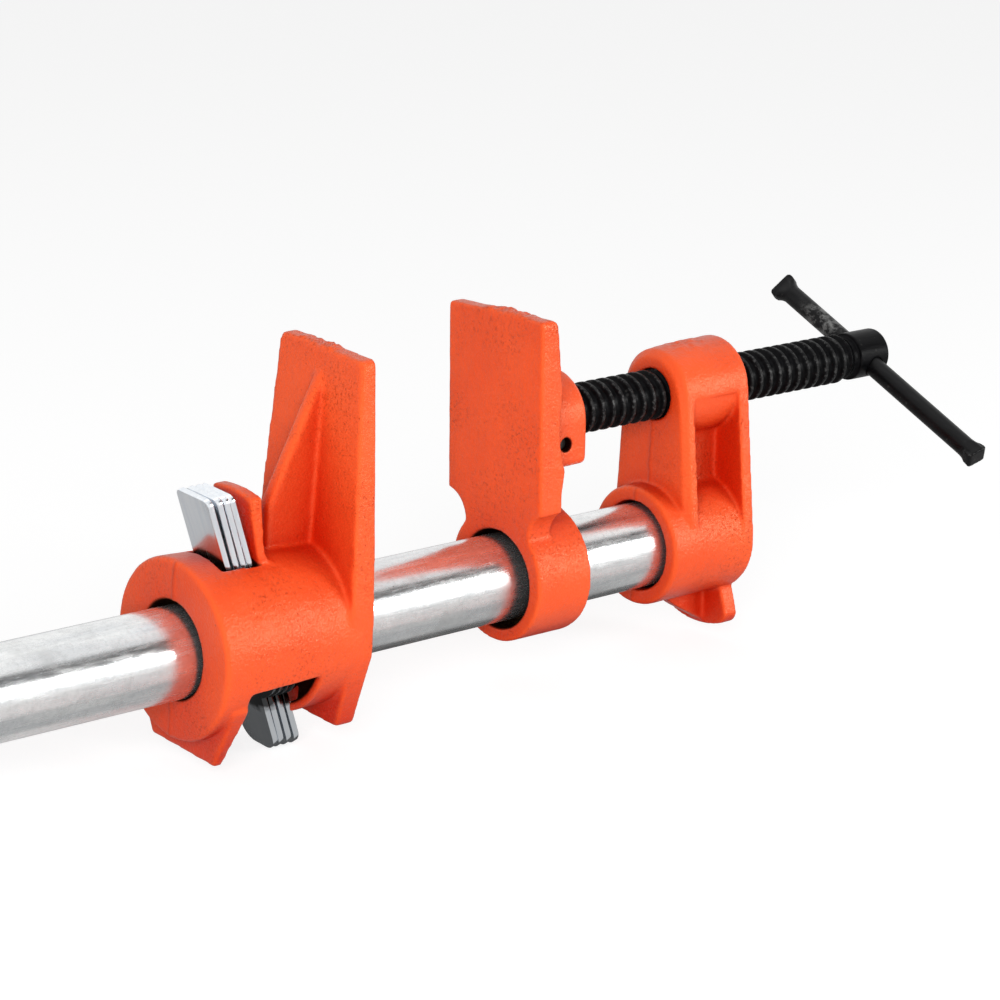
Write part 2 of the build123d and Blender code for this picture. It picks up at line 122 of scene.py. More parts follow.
# ---------------------------------------------------------------- shader wiring
def add_node(tree, kind, feeds=None, **settings):
    """One node, its settings, and its inputs by name or number: a value or another node's output."""
    node = tree.nodes.new(kind)
    for name, value in settings.items():
        setattr(node, name, value)
    for name, value in (feeds or {}).items():
        if isinstance(value, bpy.types.NodeSocket):
            tree.links.new(value, node.inputs[name])
        else:
            node.inputs[name].default_value = value
    return node


def calc(tree, operation, *terms):
    """The result of one Math node."""
    feeds = {number: term for number, term in enumerate(terms)}
    return add_node(tree, "ShaderNodeMath", feeds, operation=operation).outputs[0]


def blend_colour(tree, share, first, second):
    """Two colours, blended by a share."""
    feeds = {0: share, 6: first, 7: second}
    return add_node(tree, "ShaderNodeMix", feeds, data_type="RGBA", blend_type="MIX").outputs[2]


def tint(tree, colour, mask, amount, towards):
    """A colour taken part of the way to another, where a mask says so."""
    return blend_colour(tree, calc(tree, "MULTIPLY", mask, amount), colour, towards)


def between(tree, value, low, high, to_low=0.0, to_high=1.0):
    """A value brought from one span to another, and kept inside it."""
    feeds = {0: value, 1: low, 2: high, 3: to_low, 4: to_high}
    return add_node(tree, "ShaderNodeMapRange", feeds, clamp=True).outputs[0]


def grain(tree, where, scale, detail=3.0, roughness=0.55):
    """Fractal noise at a number of cells to the metre."""
    feeds = {"Vector": where, "Scale": scale, "Detail": detail, "Roughness": roughness}
    return add_node(tree, "ShaderNodeTexNoise", feeds).outputs[0]


def per_metre(tree, size_mm):
    """Scale of a pattern whose cells are a number of millimetres across."""
    return calc(tree, "DIVIDE", 1000.0, size_mm)


def new_group(name, inputs, outputs):
    """An empty shader group with named sockets, its input node and its output node."""
    tree = bpy.data.node_groups.new(name, "ShaderNodeTree")
    for label, kind, value in inputs:
        socket = tree.interface.new_socket(name=label, in_out="INPUT", socket_type=kind)
        if value is not None:
            socket.default_value = value
    for label, kind in outputs:
        tree.interface.new_socket(name=label, in_out="OUTPUT", socket_type=kind)
    return tree, tree.nodes.new("NodeGroupInput"), tree.nodes.new("NodeGroupOutput")


def use_group(tree, group, feeds):
    """A group's node placed in a material, with its own values."""
    return add_node(tree, "ShaderNodeGroup", feeds, node_tree=group)


def empty_material(name):
    """A material with nothing in it but its output, its tree and the output's surface socket."""
    material = bpy.data.materials.new(name)
    material.use_nodes = True
    tree = material.node_tree
    tree.nodes.clear()
    return material, tree, tree.nodes.new("ShaderNodeOutputMaterial").inputs[0]


def new_material(name):
    """A material with a Principled shader, its tree and the shader."""
    material, tree, surface = empty_material(name)
    shader = tree.nodes.new("ShaderNodeBsdfPrincipled")
    tree.links.new(shader.outputs[0], surface)
    return material, tree, shader


def bump(tree, height, strength, distance_mm):
    """Normal of a height pattern whose full height is a number of millimetres."""
    feeds = {"Height": height, "Strength": strength, "Distance": distance_mm * MM}
    return add_node(tree, "ShaderNodeBump", feeds).outputs[0]


# ---------------------------------------------------------------- effects that finishes share
def foundry_skin():
    """Sand-cast surface under paint: soft lumps, orange peel and a few pits."""
    tree, entry, result = new_group(
        "Foundry skin",
        [
            ("Vector", "NodeSocketVector", None),
            ("Lump size", "NodeSocketFloat", 6.0),
            ("Peel size", "NodeSocketFloat", 0.9),
            ("Pit size", "NodeSocketFloat", 3.5),
            ("Pit share", "NodeSocketFloat", 0.12),
        ],
        [("Height", "NodeSocketFloat"), ("Pits", "NodeSocketFloat"), ("Mottle", "NodeSocketFloat")],
    )
    where = entry.outputs["Vector"]
    lumps = grain(tree, where, per_metre(tree, entry.outputs["Lump size"]), 2.0)
    peel = grain(tree, where, per_metre(tree, entry.outputs["Peel size"]), 3.0, 0.6)
    cells = add_node(
        tree,
        "ShaderNodeTexVoronoi",
        {"Vector": where, "Scale": per_metre(tree, entry.outputs["Pit size"])},
    )
    patch = grain(tree, where, 55.0, 2.0)
    reach = calc(tree, "MULTIPLY", entry.outputs["Pit share"], between(tree, patch, 0.5, 0.72))
    pits = between(tree, cells.outputs["Distance"], 0.0, calc(tree, "ADD", reach, 0.001), 1.0, 0.0)
    raised = calc(tree, "ADD", calc(tree, "MULTIPLY", lumps, 0.55), calc(tree, "MULTIPLY", peel, 0.45))
    height = calc(tree, "SUBTRACT", raised, calc(tree, "MULTIPLY", pits, 0.6))
    tree.links.new(height, result.inputs["Height"])
    tree.links.new(pits, result.inputs["Pits"])
    tree.links.new(grain(tree, where, 28.0, 3.0), result.inputs["Mottle"])
    return tree


def edge_rub():
    """Where handling has rubbed a ridge: the ridge's mask broken up by noise."""
    tree, entry, result = new_group(
        "Edge rub",
        [
            ("Vector", "NodeSocketVector", None),
            ("Ridge", "NodeSocketFloat", 0.0),
            ("Patch size", "NodeSocketFloat", 3.0),
            ("Amount", "NodeSocketFloat", 0.3),
        ],
        [("Rub", "NodeSocketFloat")],
    )
    breakup = grain(tree, entry.outputs["Vector"], per_metre(tree, entry.outputs["Patch size"]), 4.0, 0.65)
    floor = calc(tree, "SUBTRACT", 1.0, entry.outputs["Amount"])
    worn = between(tree, calc(tree, "ADD", breakup, calc(tree, "MULTIPLY", entry.outputs["Ridge"], 0.35)),
                   floor, calc(tree, "ADD", floor, 0.12))
    tree.links.new(calc(tree, "MULTIPLY", worn, between(tree, entry.outputs["Ridge"], 0.15, 0.6)),
                   result.inputs["Rub"])
    return tree


def drawn_streaks():
    """Lines left by drawing or rolling, long one way and fine the other."""
    tree, entry, result = new_group(
        "Drawn streaks",
        [
            ("Vector", "NodeSocketVector", None),
            ("Width", "NodeSocketFloat", 0.5),
            ("Stretch", "NodeSocketFloat", 0.03),
        ],
        [("Streak", "NodeSocketFloat"), ("Fine", "NodeSocketFloat")],
    )
    narrow = add_node(tree, "ShaderNodeCombineXYZ", {0: entry.outputs["Stretch"], 1: 1.0, 2: 1.0})
    squeezed = add_node(
        tree, "ShaderNodeVectorMath", {0: entry.outputs["Vector"], 1: narrow.outputs[0]}, operation="MULTIPLY"
    ).outputs[0]
    scale = per_metre(tree, entry.outputs["Width"])
    tree.links.new(grain(tree, squeezed, calc(tree, "MULTIPLY", scale, 0.25), 3.0), result.inputs["Streak"])
    tree.links.new(grain(tree, squeezed, scale, 2.0, 0.7), result.inputs["Fine"])
    return tree


def shop_specks():
    """Scattered specks and smears of grime."""
    tree, entry, result = new_group(
        "Shop specks",
        [
            ("Vector", "NodeSocketVector", None),
            ("Spacing", "NodeSocketFloat", 6.0),
            ("Speck", "NodeSocketFloat", 0.1),
        ],
        [("Specks", "NodeSocketFloat"), ("Smear", "NodeSocketFloat")],
    )
    bend = add_node(
        tree, "ShaderNodeTexNoise", {"Vector": entry.outputs["Vector"], "Scale": 400.0}
    ).outputs["Color"]
    shift = add_node(tree, "ShaderNodeVectorMath", {0: bend, "Scale": 0.0012}, operation="SCALE").outputs[0]
    warped = add_node(
        tree, "ShaderNodeVectorMath", {0: entry.outputs["Vector"], 1: shift}, operation="ADD"
    ).outputs[0]
    cells = add_node(
        tree, "ShaderNodeTexVoronoi",
        {"Vector": warped, "Scale": per_metre(tree, entry.outputs["Spacing"])},
    )
    lot = add_node(tree, "ShaderNodeSeparateColor", {0: cells.outputs["Color"]}).outputs[0]
    reach = calc(tree, "MULTIPLY", entry.outputs["Speck"], between(tree, lot, 0.55, 1.0))
    specks = between(tree, cells.outputs["Distance"], calc(tree, "MULTIPLY", reach, 0.6),
                     calc(tree, "ADD", reach, 0.0005), 1.0, 0.0)
    tree.links.new(specks, result.inputs["Specks"])
    smear = between(tree, grain(tree, entry.outputs["Vector"], 60.0, 5.0, 0.65), 0.52, 0.72)
    tree.links.new(smear, result.inputs["Smear"])
    return tree


SKIN = foundry_skin()
RUB = edge_rub()
STREAKS = drawn_streaks()
SPECKS = shop_specks()


def own_place(tree, turn=(0.0, 0.0, 0.0), centre=(0.0, 0.0, 0.0)):
    """Object coordinates, centred and turned for the piece."""
    feeds = {"Location": [-value * MM for value in centre]}
    moved = add_node(tree, "ShaderNodeMapping", feeds, vector_type="POINT")
    tree.links.new(tree.nodes.new("ShaderNodeTexCoord").outputs["Object"], moved.inputs["Vector"])
    feeds = {"Vector": moved.outputs[0], "Rotation": [math.radians(angle) for angle in turn]}
    return add_node(tree, "ShaderNodeMapping", feeds, vector_type="POINT").outputs[0]


def attribute(tree, name):
    """A value that the piece's own mesh carries."""
    return add_node(tree, "ShaderNodeAttribute", attribute_name=name).outputs["Fac"]


# ---------------------------------------------------------------- finishes
def orange_enamel():
    """Semi-gloss enamel over rough sand casting, with painted shade (darker red in recesses, creases and
    pits, near black in bores) and painted highlight on ridges.
    """
    material, tree, shader = new_material("Orange enamel")
    where = own_place(tree)
    skin = use_group(tree, SKIN, {"Vector": where, "Lump size": 5.0, "Peel size": 0.8,
                                  "Pit size": 2.6, "Pit share": 0.2})
    grime = use_group(tree, SPECKS, {"Vector": where, "Spacing": 7.0, "Speck": 0.05})
    ridge = attribute(tree, "ridge")
    hollow = attribute(tree, "hollow")
    rub = use_group(tree, RUB, {"Vector": where, "Ridge": ridge, "Patch size": 2.4, "Amount": 0.26})
    shelter = add_node(tree, "ShaderNodeAmbientOcclusion", {"Distance": 0.030}, samples=8).outputs["AO"]
    colour = blend_colour(tree, between(tree, skin.outputs["Mottle"], 0.3, 0.7),
                          (0.72, 0.063, 0.012, 1), (0.80, 0.086, 0.018, 1))
    # painted shade: the enamel darkened to deep red where ambient occlusion finds a recess
    painted_recess_shade = between(tree, shelter, 0.40, 0.93, 1.0, 0.0)
    colour = blend_colour(tree, painted_recess_shade, colour, (0.48, 0.012, 0.0015, 1))
    # painted shade: concave creases darkened further towards deep red
    colour = tint(tree, colour, hollow, 0.6, (0.60, 0.024, 0.003, 1))
    # painted highlight: convex ridges lightened to a brighter orange
    colour = tint(tree, colour, ridge, 0.28, (0.94, 0.125, 0.02, 1))
    # painted shadow: a dark red line along the raised mould line
    colour = tint(tree, colour, attribute(tree, "seam_shadow"), 0.6, (0.40, 0.02, 0.004, 1))
    # painted shade: pits in the skin darkened
    colour = tint(tree, colour, skin.outputs["Pits"], 0.7, (0.42, 0.03, 0.008, 1))
    patchy = between(tree, grain(tree, where, 45.0, 2.0, 0.5), 0.42, 0.62)
    speckle = calc(tree, "MULTIPLY", between(tree, grain(tree, where, 1150.0, 4.0, 0.75), 0.56, 0.68), patchy)
    colour = tint(tree, colour, speckle, 0.38, (0.40, 0.022, 0.004, 1))
    colour = tint(tree, colour, rub.outputs["Rub"], 0.5, (0.55, 0.05, 0.014, 1))
    colour = tint(tree, colour, grime.outputs["Specks"], 0.6, (0.3, 0.03, 0.01, 1))
    # painted shade: near black, metallic and rougher in bores, the tail stop's hollow and slot, and the pin
    # hole
    painted_shade = calc(tree, "MULTIPLY", attribute(tree, "painted_shade"), 0.94)
    colour = blend_colour(tree, painted_shade, colour, (0.012, 0.007, 0.005, 1))
    tree.links.new(colour, shader.inputs["Base Color"])
    rough = between(tree, skin.outputs["Mottle"], 0.25, 0.75, 0.29, 0.41)
    rough = calc(tree, "ADD", rough, calc(tree, "MULTIPLY", rub.outputs["Rub"], 0.12))
    rough = calc(tree, "ADD", rough, calc(tree, "MULTIPLY", painted_shade, 0.3))
    tree.links.new(rough, shader.inputs["Roughness"])
    tree.links.new(painted_shade, shader.inputs["Metallic"])
    height = calc(tree, "SUBTRACT", skin.outputs["Height"], calc(tree, "MULTIPLY", speckle, 0.25))
    tree.links.new(bump(tree, height, 0.9, 0.58), shader.inputs["Normal"])
    shader.inputs["Specular IOR Level"].default_value = 0.5
    shader.inputs["Specular Tint"].default_value = (1.0, 0.86, 0.52, 1)
    return material


def galvanising():
    """Bright zinc on drawn pipe: long streaks, faint spangle, specks and smears."""
    material, tree, shader = new_material("Galvanising")
    where = own_place(tree)
    streaks = use_group(tree, STREAKS, {"Vector": where, "Width": 0.9, "Stretch": 0.10})
    grime = use_group(tree, SPECKS, {"Vector": where, "Spacing": 5.5, "Speck": 0.10})
    spangle = add_node(tree, "ShaderNodeTexVoronoi", {"Vector": where, "Scale": 260.0})
    lot = add_node(tree, "ShaderNodeSeparateColor", {0: spangle.outputs["Color"]}).outputs[1]
    dapple = between(tree, grain(tree, where, 700.0, 3.0, 0.6), 0.48, 0.66)
    colour = blend_colour(tree, between(tree, streaks.outputs["Streak"], 0.38, 0.62),
                          (0.74, 0.755, 0.765, 1), (0.88, 0.89, 0.885, 1))
    colour = tint(tree, colour, lot, 0.14, (0.50, 0.51, 0.52, 1))
    colour = tint(tree, colour, dapple, 0.22, (0.44, 0.45, 0.45, 1))
    colour = tint(tree, colour, grime.outputs["Smear"], 0.38, (0.42, 0.42, 0.41, 1))
    colour = tint(tree, colour, grime.outputs["Specks"], 0.85, (0.10, 0.10, 0.10, 1))
    tree.links.new(colour, shader.inputs["Base Color"])
    rough = between(tree, streaks.outputs["Fine"], 0.3, 0.7, 0.19, 0.30)
    rough = calc(tree, "ADD", rough, calc(tree, "MULTIPLY", grime.outputs["Smear"], 0.12))
    tree.links.new(rough, shader.inputs["Roughness"])
    shader.inputs["Metallic"].default_value = 0.95
    height = calc(tree, "ADD", calc(tree, "MULTIPLY", streaks.outputs["Streak"], 0.06),
                  calc(tree, "MULTIPLY", grain(tree, where, 520.0, 4.0, 0.65), 0.5))
    tree.links.new(bump(tree, height, 0.5, 0.075), shader.inputs["Normal"])
    return material


def black_oxide(name, turn, centre, gloss, rub_amount, rub_from, rub_to):
    """Oiled black oxide, rubbed to steel on ridges and along one worn stretch of the piece's own length; the
    sharpest crests lightened into thin lines, partly wear and partly painted highlight.
    """
    material, tree, shader = new_material(name)
    where = own_place(tree, turn, centre)
    streaks = use_group(tree, STREAKS, {"Vector": where, "Width": 0.5, "Stretch": 0.12})
    grime = use_group(tree, SPECKS, {"Vector": where, "Spacing": 2.6, "Speck": 0.22})
    along = add_node(tree, "ShaderNodeSeparateXYZ", {0: where}).outputs[0]
    worn = calc(tree, "MULTIPLY", between(tree, along, rub_from * MM, (rub_from + 6.0) * MM),
                between(tree, along, (rub_to - 8.0) * MM, rub_to * MM, 1.0, 0.0))
    patch = between(tree, grain(tree, where, 320.0, 5.0, 0.7), 0.46, 0.62)
    worn = calc(tree, "MULTIPLY", worn, patch)
    ridge = attribute(tree, "ridge")
    rub = use_group(tree, RUB, {"Vector": where, "Ridge": ridge, "Patch size": 1.2, "Amount": rub_amount})
    # painted highlight and wear: the sharpest crests lightened towards steel in thin continuous lines
    crest_shine = between(tree, patch, 0.0, 1.0, 0.03, 0.12)
    crest_rub_and_highlight = calc(tree, "MULTIPLY", between(tree, ridge, 0.94, 1.0), crest_shine)
    bare_and_highlight = calc(tree, "MAXIMUM", worn, calc(tree, "MULTIPLY", rub.outputs["Rub"], 0.30))
    bare_and_highlight = calc(tree, "MAXIMUM", bare_and_highlight, crest_rub_and_highlight)
    colour = blend_colour(tree, between(tree, streaks.outputs["Streak"], 0.35, 0.65),
                          (0.0014, 0.0014, 0.0016, 1), (0.004, 0.004, 0.0045, 1))
    colour = tint(tree, colour, bare_and_highlight, 0.62, (0.24, 0.24, 0.235, 1))
    colour = tint(tree, colour, grime.outputs["Specks"], 0.3, (0.05, 0.048, 0.045, 1))
    tree.links.new(colour, shader.inputs["Base Color"])
    tree.links.new(between(tree, streaks.outputs["Fine"], 0.3, 0.7, 0.28, 0.46), shader.inputs["Roughness"])
    tree.links.new(calc(tree, "MULTIPLY", bare_and_highlight, 0.8), shader.inputs["Metallic"])
    shader.inputs["Specular IOR Level"].default_value = gloss
    height = calc(tree, "ADD", streaks.outputs["Fine"], calc(tree, "MULTIPLY", grime.outputs["Smear"], 0.3))
    tree.links.new(bump(tree, height, 0.3, 0.08), shader.inputs["Normal"])
    return material


def bright_plate():
    """Bright plated pressing: near-mirror faces with faint rolling lines."""
    material, tree, shader = new_material("Bright plate")
    where = own_place(tree, (0.0, PLATE_TILT + 90.0, 0.0), (PLATE_FACE_X, 0.0, 0.0))
    streaks = use_group(tree, STREAKS, {"Vector": where, "Width": 0.35, "Stretch": 0.04})
    grime = use_group(tree, SPECKS, {"Vector": where, "Spacing": 4.0, "Speck": 0.08})
    colour = blend_colour(tree, between(tree, streaks.outputs["Streak"], 0.35, 0.65),
                          (0.82, 0.86, 0.91, 1), (0.90, 0.93, 0.96, 1))
    colour = tint(tree, colour, grime.outputs["Specks"], 0.7, (0.16, 0.16, 0.16, 1))
    colour = tint(tree, colour, grime.outputs["Smear"], 0.15, (0.4, 0.4, 0.4, 1))
    # painted shade: the plates darkened to near black where they lie inside the tail stop, within about 21 mm
    # of the pipe's axis
    place = add_node(tree, "ShaderNodeSeparateXYZ", {0: own_place(tree)})
    away = calc(tree, "SQRT", calc(tree, "ADD", calc(tree, "POWER", place.outputs[1], 2.0),
                                   calc(tree, "POWER", place.outputs[2], 2.0)))
    ragged = calc(tree, "MULTIPLY", calc(tree, "SUBTRACT", grain(tree, where, 260.0), 0.5), 0.006)
    painted_shade = between(tree, calc(tree, "ADD", away, ragged), 0.0205, 0.0225, 0.92, 0.0)
    colour = blend_colour(tree, painted_shade, colour, (0.018, 0.017, 0.016, 1))
    tree.links.new(colour, shader.inputs["Base Color"])
    rough = between(tree, streaks.outputs["Fine"], 0.3, 0.7, 0.14, 0.24)
    rough = calc(tree, "ADD", rough, calc(tree, "MULTIPLY", grime.outputs["Smear"], 0.10))
    tree.links.new(rough, shader.inputs["Roughness"])
    shader.inputs["Metallic"].default_value = 1.0
    tree.links.new(bump(tree, streaks.outputs["Fine"], 0.12, 0.03), shader.inputs["Normal"])
    return material


def drawn_wire():
    """Dull grey spring wire with a film of oil."""
    material, tree, shader = new_material("Drawn wire")
    where = own_place(tree)
    grime = use_group(tree, SPECKS, {"Vector": where, "Spacing": 2.0, "Speck": 0.2})
    colour = blend_colour(tree, between(tree, grain(tree, where, 500.0), 0.35, 0.65),
                          (0.16, 0.16, 0.165, 1), (0.34, 0.34, 0.34, 1))
    colour = tint(tree, colour, grime.outputs["Smear"], 0.5, (0.06, 0.05, 0.045, 1))
    tree.links.new(colour, shader.inputs["Base Color"])
    tree.links.new(between(tree, grain(tree, where, 900.0), 0.3, 0.7, 0.30, 0.5), shader.inputs["Roughness"])
    shader.inputs["Metallic"].default_value = 1.0
    return material


def oily_pin():
    """Dark oiled pin end, deep in its hole."""
    material, tree, shader = new_material("Oily pin")
    where = own_place(tree)
    grime = use_group(tree, SPECKS, {"Vector": where, "Spacing": 1.2, "Speck": 0.3})
    colour = blend_colour(tree, grime.outputs["Specks"], (0.05, 0.048, 0.045, 1), (0.012, 0.011, 0.010, 1))
    tree.links.new(colour, shader.inputs["Base Color"])
    tree.links.new(between(tree, grain(tree, where, 900.0), 0.3, 0.7, 0.35, 0.6), shader.inputs["Roughness"])
    shader.inputs["Metallic"].default_value = 0.7
    return material


# ---------------------------------------------------------------- meshes
def placed(name, data):
    """An object made from data and put in the scene."""
    thing = bpy.data.objects.new(name, data)
    bpy.context.scene.collection.objects.link(thing)
    return thing


def merged_copy(node, name):
    """A copy of a CAD node whose loose triangles are joined."""
    copy = placed(name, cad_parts[node].data.copy())
    weld = copy.modifiers.new("weld", "WELD")
    weld.merge_threshold = 1e-6
    return copy


def settle(piece, name):
    """The piece with its modifiers taken into a plain mesh."""
    bpy.context.view_layer.update()
    evaluated = piece.evaluated_get(bpy.context.evaluated_depsgraph_get())
    mesh = bpy.data.meshes.new_from_object(evaluated)
    piece.modifiers.clear()
    piece.data = mesh
    mesh.name = name
    return piece


def read_points(mesh):
    """Vertex positions in millimetres, and normals."""
    points = np.empty(len(mesh.vertices) * 3)
    mesh.vertices.foreach_get("co", points)
    normals = np.empty(len(mesh.vertices) * 3)
    mesh.vertex_normals.foreach_get("vector", normals)
    return points.reshape(-1, 3) / MM, normals.reshape(-1, 3)


def write_points(mesh, points):
    """Positions in millimetres back to the mesh."""
    mesh.vertices.foreach_set("co", (points * MM).ravel())
    mesh.update()


def write_value(mesh, name, values):
    """One number for each vertex, kept on the mesh for its finish."""
    layer = mesh.attributes.new(name, "FLOAT", "POINT")
    layer.data.foreach_set("value", values.astype(np.float32))


def around(mesh, values, rounds=1):
    """Mean over each vertex's neighbours, over and over."""
    pairs = np.empty(len(mesh.edges) * 2, int)
    mesh.edges.foreach_get("vertices", pairs)
    pairs = pairs.reshape(-1, 2)
    count = np.bincount(pairs.ravel(), minlength=len(values)).astype(float)
    count[count == 0] = 1
    for _ in range(rounds):
        total = np.zeros_like(values)
        np.add.at(total, pairs[:, 0], values[pairs[:, 1]])
        np.add.at(total, pairs[:, 1], values[pairs[:, 0]])
        values = total / (count[:, None] if values.ndim > 1 else count)
    return values


def mark_ridges(mesh, bend_from, bend_to):
    """Ridges and hollows of the mesh, from how far each point stands out from its neighbours."""
    points, normals = read_points(mesh)
    near = points
    for _ in range(4):
        near = around(mesh, near)
    stand = ((points - near) * normals).sum(1)
    stand = around(mesh, stand, 2)
    write_value(mesh, "ridge", np.clip((stand - bend_from) / (bend_to - bend_from), 0, 1))
    write_value(mesh, "hollow", np.clip((-stand - bend_from) / (bend_to - bend_from), 0, 1))


def rough_field(points, size, seed):
    """Smooth noise of a size in millimetres at each point, about -1 to 1."""
    shift = Vector((seed * 7.3, seed * 3.1, seed * 5.7))
    return np.array([noise.fractal(Vector(p / size) + shift, 0.9, 2.0, 2) for p in points])


def shade_smooth(mesh):
    """Every face of the mesh drawn smooth."""
    mesh.polygons.foreach_set("use_smooth", np.ones(len(mesh.polygons), bool))


def rounded_skin(node, name, grid, smoothing):
    """The node's shape with the soft edges and filled corners of a casting or forging."""
    piece = merged_copy(node, name)
    remesh = piece.modifiers.new("grid", "REMESH")
    remesh.mode = "VOXEL"
    remesh.voxel_size = grid * MM
    remesh.use_smooth_shade = True
    soften = piece.modifiers.new("soften", "SMOOTH")
    soften.factor = 0.5
    soften.iterations = smoothing
    settle(piece, name)
    shade_smooth(piece.data)
    return piece


def finish_piece(piece, material, body, slot, *nodes):
    """Gives a piece its finish, its body and the nodes that it stands for."""
    piece.data.materials.clear()
    piece.data.materials.append(material)
    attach(piece, body)
    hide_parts(*nodes)
    return piece


def thin_beside_boss(points):
    """The jaw plate a little thinner on both sides of its screw boss."""
    beside = np.clip((np.abs(points[:, 1]) - BOSS_HALF_WIDTH) / 2.5, 0, 1) * hump(points[:, 2] - 45.0, 17.0)
    behind = np.clip((points[:, 0] - JAW_FACE_X - 3.0) / 4.0, 0, 1)
    thinner = points.copy()
    thinner[:, 0] -= 2.2 * beside * behind
    return thinner


def casting(node, name, grid, marks):
    """An enamelled casting: rounded skin, foundry lumps, the marks of its mould, and the masks of its painted
    shadow and painted shade.
    """
    piece = rounded_skin(node, name, grid, 9)
    mesh = piece.data
    points, normals = read_points(mesh)
    if node == "sliding_jaw":
        points = thin_beside_boss(points)
    lift = 0.07 * rough_field(points, 7.0, 1) + 0.03 * rough_field(points, 2.2, 2)
    line, stubs, painted_shade = marks(points, normals)
    lift += 0.22 * line + stubs
    # mask of the painted shadow along the mould line
    write_value(mesh, "seam_shadow", line)
    # mask of the painted shade in bores and hollows
    write_value(mesh, "painted_shade", painted_shade)
    write_points(mesh, points + normals * lift[:, None])
    mark_ridges(mesh, 0.05, 0.25)
    return piece


def hump(distance, width):
    """A soft rise, 1 at its middle and 0 past its width."""
    return np.clip(1 - (distance / width) ** 2, 0, 1) ** 2


def gate_stub(points, normals, middle, half_x, half_y, height, seed):
    """Rough stub on a top face where the metal ran in."""
    facing = np.clip((normals[:, 2] - 0.6) / 0.3, 0, 1)
    spread = hump(points[:, 0] - middle[0], half_x) ** 0.5 * hump(points[:, 1] - middle[1], half_y) ** 0.5
    level = hump(points[:, 2] - middle[2], 4.0) > 0
    chosen = spread * facing * level
    rise = np.zeros(len(points))
    inside = np.nonzero(chosen > 0.01)[0]
    knobs = rough_field(points[inside], 3.0, seed)
    rise[inside] = chosen[inside] * height * np.clip(0.55 + 1.1 * knobs, 0, 1.3)
    return rise


def bore_shade(points, side, height, radius):
    """Painted shade in a bore: 1 within a radius of a line along X."""
    away = np.hypot(points[:, 1] - side, points[:, 2] - height)
    return np.clip((radius - away) / 0.5, 0, 1)


def head_marks(points, normals):
    """Mould line down the head's front (also the mask of a painted shadow along it), a low rough pad on its
    top, and painted shade in its two bores.
    """
    wander = 0.35 * np.sin(points[:, 2] * 0.31) + 0.15 * np.sin(points[:, 2] * 1.3)
    line = hump(points[:, 1] - wander, 0.9) * np.clip(-normals[:, 0] - 0.5, 0, 0.4) / 0.4
    line *= (points[:, 0] < HEAD_FRONT_X + 3) & (points[:, 2] < SCREW_Z)
    pad = gate_stub(points, normals, (HEAD_FRONT_X + 13.0, 0.5, HEAD_TOP_Z), 9.0, 7.0, 0.55, 3)
    # painted shade: near black in the pipe bore and the screw bore
    painted_shade = bore_shade(points, 0.0, 0.0, PIPE_R + 1.1)
    painted_shade += bore_shade(points, 0.0, SCREW_Z, THREAD_CREST_R + 0.5)
    return line, pad, np.minimum(painted_shade, 1)


def jaw_marks(points, normals):
    """Low gate stub along the jaw's top edge, and painted shade in its bores and pin hole."""
    stub = gate_stub(points, normals, (JAW_FACE_X + 3.2, -3.0, JAW_TOP_Z), 6.0, 13.0, 1.0, 4)
    # painted shade: near black in the bores and the pin hole
    painted_shade = bore_shade(points, JAW_BORE_SIDE, 0.0, JAW_BORE_R)
    painted_shade += bore_shade(points, 0.0, SCREW_Z, THREAD_CREST_R + 0.8)
    painted_shade *= (points[:, 0] > JAW_FACE_X + 6.0) | (points[:, 2] < SCREW_Z / 2)
    from_pin = np.hypot(points[:, 0] - PIN_X, points[:, 2] - PIN_Z)
    painted_shade += np.clip((2.5 - from_pin) / 0.3, 0, 1) * (np.abs(points[:, 1]) > NOSE_R)
    return np.zeros(len(points)), stub, np.minimum(painted_shade, 1)


def tail_marks(points, normals):
    """Mould line down the collar's front (also the mask of a painted shadow along it), two knobs on the
    plate's top, and painted shade in the bore, hollow and slot.
    """
    roll = math.radians(TAIL_ROLL)
    side = points[:, 1] * math.cos(roll) + points[:, 2] * math.sin(roll)
    wander = 0.3 * np.sin(points[:, 2] * 0.4)
    line = hump(side - wander, 0.9) * np.clip(-normals[:, 0] - 0.5, 0, 0.4) / 0.4
    line *= points[:, 0] < COLLAR_FRONT_X + 2
    plate_middle = TAIL_FACE_X - 2.6
    knobs = gate_stub(points, normals, (plate_middle, 1.0, TAIL_TOP_Z), 4.5, 5.0, 0.7, 5)
    knobs += gate_stub(points, normals, (plate_middle, -8.0, TAIL_TOP_Z), 4.5, 3.5, 1.1, 6)
    behind_wall = points[:, 0] - COLLAR_FRONT_X - COLLAR_WALL
    hollow = (behind_wall > -0.5) & (behind_wall < HOLLOW_LENGTH + 0.5)
    bore = (TAIL_BORE_SIDE, TAIL_BORE_HEIGHT)
    # painted shade: near black in the bore, the hollow and the slot
    painted_shade = bore_shade(points, *bore, 15.0) + hollow * bore_shade(points, *bore, HOLLOW_SHADE_R)
    slot = hollow & (TAIL_FACE_X - points[:, 0] > SLOT_FROM_FACE) & (points[:, 2] > PIPE_R)
    slot &= np.abs(side) < SLOT_HALF_WIDTH
    painted_shade += slot * bore_shade(points, *bore, SLOT_SHADE_R)
    return line, knobs, np.minimum(painted_shade, 1)


